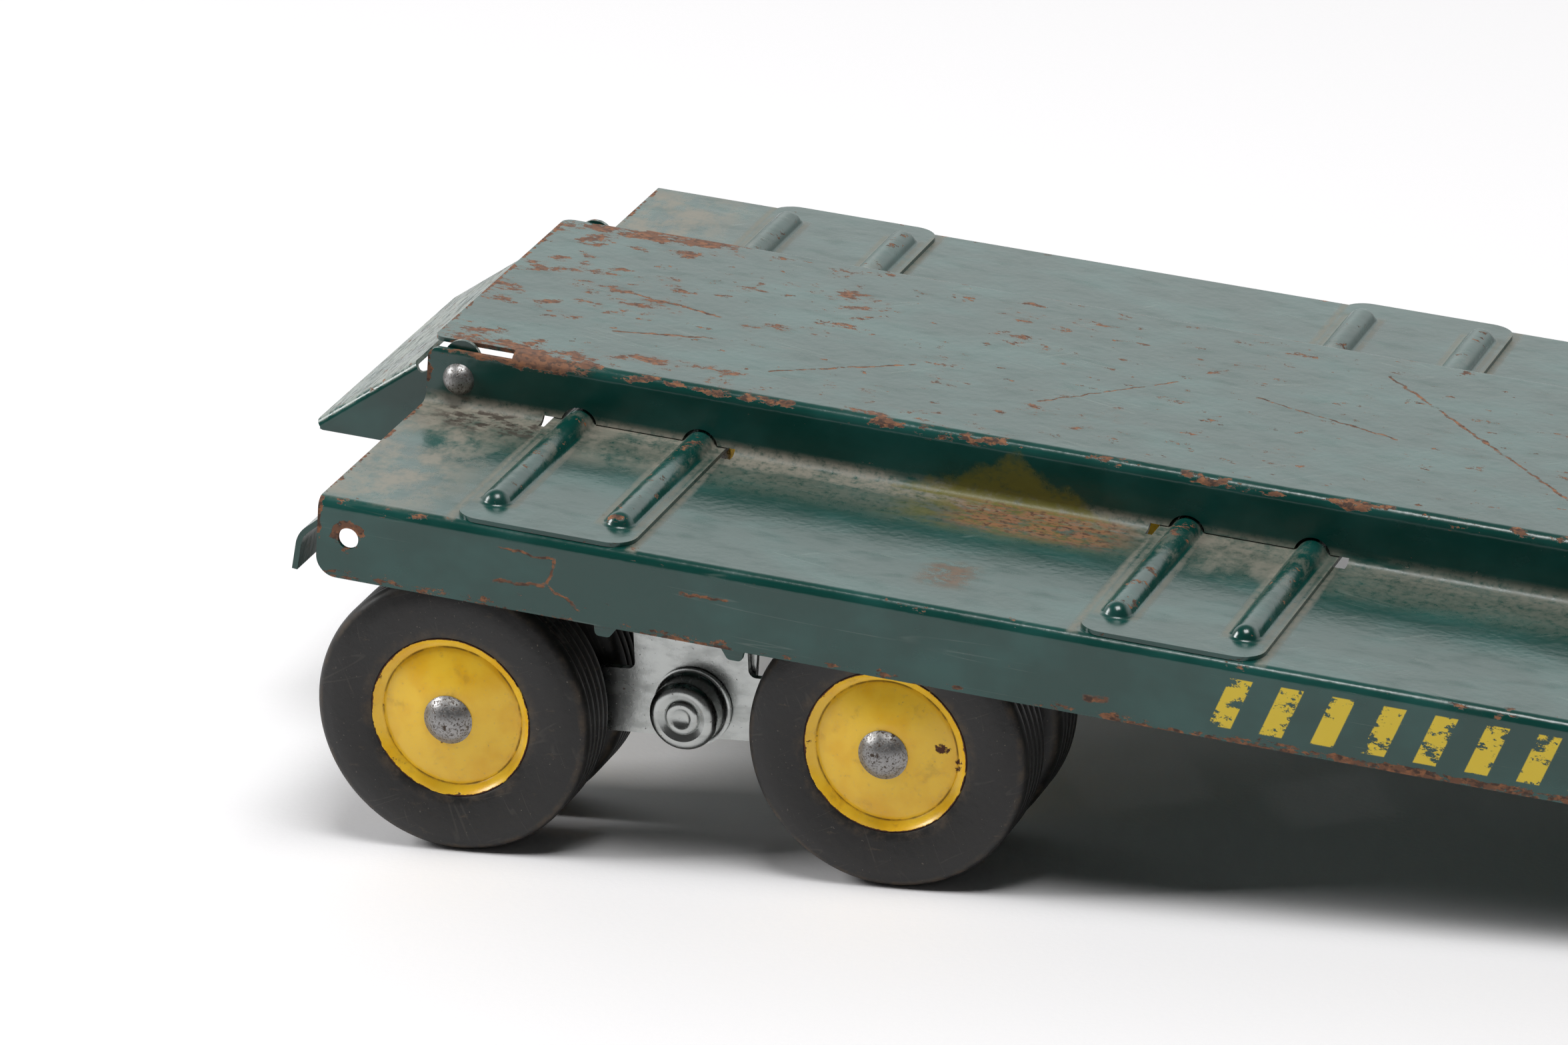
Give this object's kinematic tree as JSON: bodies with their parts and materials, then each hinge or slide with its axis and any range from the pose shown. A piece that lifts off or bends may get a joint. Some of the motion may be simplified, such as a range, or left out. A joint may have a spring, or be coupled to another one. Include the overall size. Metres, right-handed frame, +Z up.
{
  "type": "toy machinery trailer",
  "caption": "Pressed-steel toy machinery trailer: hat-section deck with ribbed cross plates, rocking bogies with dual wheels, hinged rear ramp and gooseneck.",
  "frame": {"origin": "on the ground, under the middle of the trailer's length and width", "axes": "+X forward, towards the gooseneck; +Y to the trailer's left; +Z up from the ground that the wheels and landing legs stand on. The deck is pitched 6.2 degrees nose-down about +Y at rest."},
  "size_m": [0.7682, 0.2512, 0.1062],
  "materials": {
    "green_enamel": "worn gloss",
    "yellow_enamel": "worn gloss",
    "zinc_plate": "satin",
    "rivet_steel": "satin",
    "tyre_rubber": "matte"
  },
  "bodies": {
    "trailer": {"axle_cap_far": "zinc_plate", "axle_cap_near": "zinc_plate", "cap_washer_far": "zinc_plate", "cap_washer_near": "zinc_plate", "coupler_plate": "zinc_plate", "cross_plate_1": "green_enamel", "cross_plate_2": "green_enamel", "cross_plate_3": "green_enamel", "cross_plate_4": "green_enamel", "deck_sheet": "green_enamel", "flange_strap_far": "green_enamel", "flange_strap_near": "green_enamel", "front_apron": "green_enamel", "gooseneck": "green_enamel", "hanger_far": "zinc_plate", "hanger_near": "zinc_plate", "king_pin": "zinc_plate", "landing_leg_far": "green_enamel", "landing_leg_near": "green_enamel", "leg_rivets_far": "rivet_steel", "leg_rivets_near": "rivet_steel", "neck_rivets": "rivet_steel", "pivot_axle": "zinc_plate", "ramp_pin_far": "rivet_steel", "ramp_pin_near": "rivet_steel", "rear_rail_far": "green_enamel", "rear_rail_near": "green_enamel"},
    "ramp": {"ramp": "green_enamel"},
    "bogie_near": {"beam_near": "zinc_plate"},
    "wheelset_near_rear": {"hub_near_rear_inner": "yellow_enamel", "hub_near_rear_outer": "yellow_enamel", "spacers_near_rear": "zinc_plate", "tyre_near_rear_inner": "tyre_rubber", "tyre_near_rear_outer": "tyre_rubber", "wheel_axle_near_rear": "rivet_steel"},
    "wheelset_near_front": {"hub_near_front_inner": "yellow_enamel", "hub_near_front_outer": "yellow_enamel", "spacers_near_front": "zinc_plate", "tyre_near_front_inner": "tyre_rubber", "tyre_near_front_outer": "tyre_rubber", "wheel_axle_near_front": "rivet_steel"},
    "bogie_far": {"beam_far": "zinc_plate"},
    "wheelset_far_rear": {"hub_far_rear_inner": "yellow_enamel", "hub_far_rear_outer": "yellow_enamel", "spacers_far_rear": "zinc_plate", "tyre_far_rear_inner": "tyre_rubber", "tyre_far_rear_outer": "tyre_rubber", "wheel_axle_far_rear": "rivet_steel"},
    "wheelset_far_front": {"hub_far_front_inner": "yellow_enamel", "hub_far_front_outer": "yellow_enamel", "spacers_far_front": "zinc_plate", "tyre_far_front_inner": "tyre_rubber", "tyre_far_front_outer": "tyre_rubber", "wheel_axle_far_front": "rivet_steel"}
  },
  "joints": [
    {"name": "ramp_hinge", "type": "hinge", "parent": "trailer", "child": "ramp", "pos_m": [-0.34459, 0, 0.09651], "axis": [0, 1, 0], "range_deg": [0, 37]},
    {"name": "bogie_near_rock", "type": "hinge", "parent": "trailer", "child": "bogie_near", "pos_m": [-0.26909, -0.0995, 0.035], "axis": [0, 1, 0], "range_deg": [-3.2, 15.6]},
    {"name": "wheels_near_rear_spin", "type": "hinge", "parent": "bogie_near", "child": "wheelset_near_rear", "pos_m": [-0.32434, -0.0995, 0.035], "axis": [0, 1, 0], "continuous": true},
    {"name": "wheels_near_front_spin", "type": "hinge", "parent": "bogie_near", "child": "wheelset_near_front", "pos_m": [-0.21384, -0.0995, 0.035], "axis": [0, 1, 0], "continuous": true},
    {"name": "bogie_far_rock", "type": "hinge", "parent": "trailer", "child": "bogie_far", "pos_m": [-0.26909, 0.0995, 0.035], "axis": [0, 1, 0], "range_deg": [-3.2, 15.6]},
    {"name": "wheels_far_rear_spin", "type": "hinge", "parent": "bogie_far", "child": "wheelset_far_rear", "pos_m": [-0.32434, 0.0995, 0.035], "axis": [0, 1, 0], "continuous": true},
    {"name": "wheels_far_front_spin", "type": "hinge", "parent": "bogie_far", "child": "wheelset_far_front", "pos_m": [-0.21384, 0.0995, 0.035], "axis": [0, 1, 0], "continuous": true}
  ]
}
